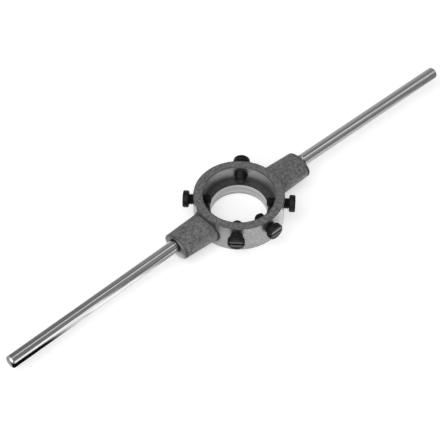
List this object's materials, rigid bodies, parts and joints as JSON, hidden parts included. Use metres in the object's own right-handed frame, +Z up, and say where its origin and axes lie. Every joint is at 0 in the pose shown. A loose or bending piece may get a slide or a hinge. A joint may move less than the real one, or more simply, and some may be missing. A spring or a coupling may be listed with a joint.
{
  "type": "die stock handle",
  "caption": "Cast ring with a stepped seat for a round threading die, radial slotted set screws, and a long plain bar screwed into a boss on each side.",
  "frame": {"origin": "centre of the ring's underside, on the axis of the die pocket and throat", "axes": "+Z up along the ring's axis, out of the die pocket; +X along the right handle bar; the spreading screw is on -Y"},
  "size_m": [0.3, 0.053, 0.0164],
  "materials": {
    "casting": "dark cast skin, machined bright on the ring's wall, in the die pocket and on the boss ends",
    "bar_steel": "bright drawn bar, polished along its length",
    "screw_steel": "black oxide, satin"
  },
  "bodies": {
    "holder": {"holder_body": "casting", "handle_bar_left": "bar_steel", "handle_bar_right": "bar_steel"},
    "spreading_screw": {"spreading_screw": "screw_steel"},
    "closing_screw_left": {"closing_screw_left": "screw_steel"},
    "closing_screw_right": {"closing_screw_right": "screw_steel"},
    "holding_screw_left": {"holding_screw_left": "screw_steel"},
    "holding_screw_right": {"holding_screw_right": "screw_steel"}
  },
  "joints": [
    {"name": "spreading_screw_travel", "type": "slide", "parent": "holder", "child": "spreading_screw", "axis": [0, -1, 0], "range_m": [-0.0015, 0.0051]},
    {"name": "closing_screw_left_travel", "type": "slide", "parent": "holder", "child": "closing_screw_left", "axis": [-0.7071, -0.7071, 0], "range_m": [-0.0021, 0.0045]},
    {"name": "closing_screw_right_travel", "type": "slide", "parent": "holder", "child": "closing_screw_right", "axis": [0.7071, -0.7071, 0], "range_m": [-0.0021, 0.0045]},
    {"name": "holding_screw_left_travel", "type": "slide", "parent": "holder", "child": "holding_screw_left", "axis": [-0.7071, 0.7071, 0], "range_m": [-0.0021, 0.0045]},
    {"name": "holding_screw_right_travel", "type": "slide", "parent": "holder", "child": "holding_screw_right", "axis": [0.7071, 0.7071, 0], "range_m": [-0.0021, 0.0045]}
  ]
}
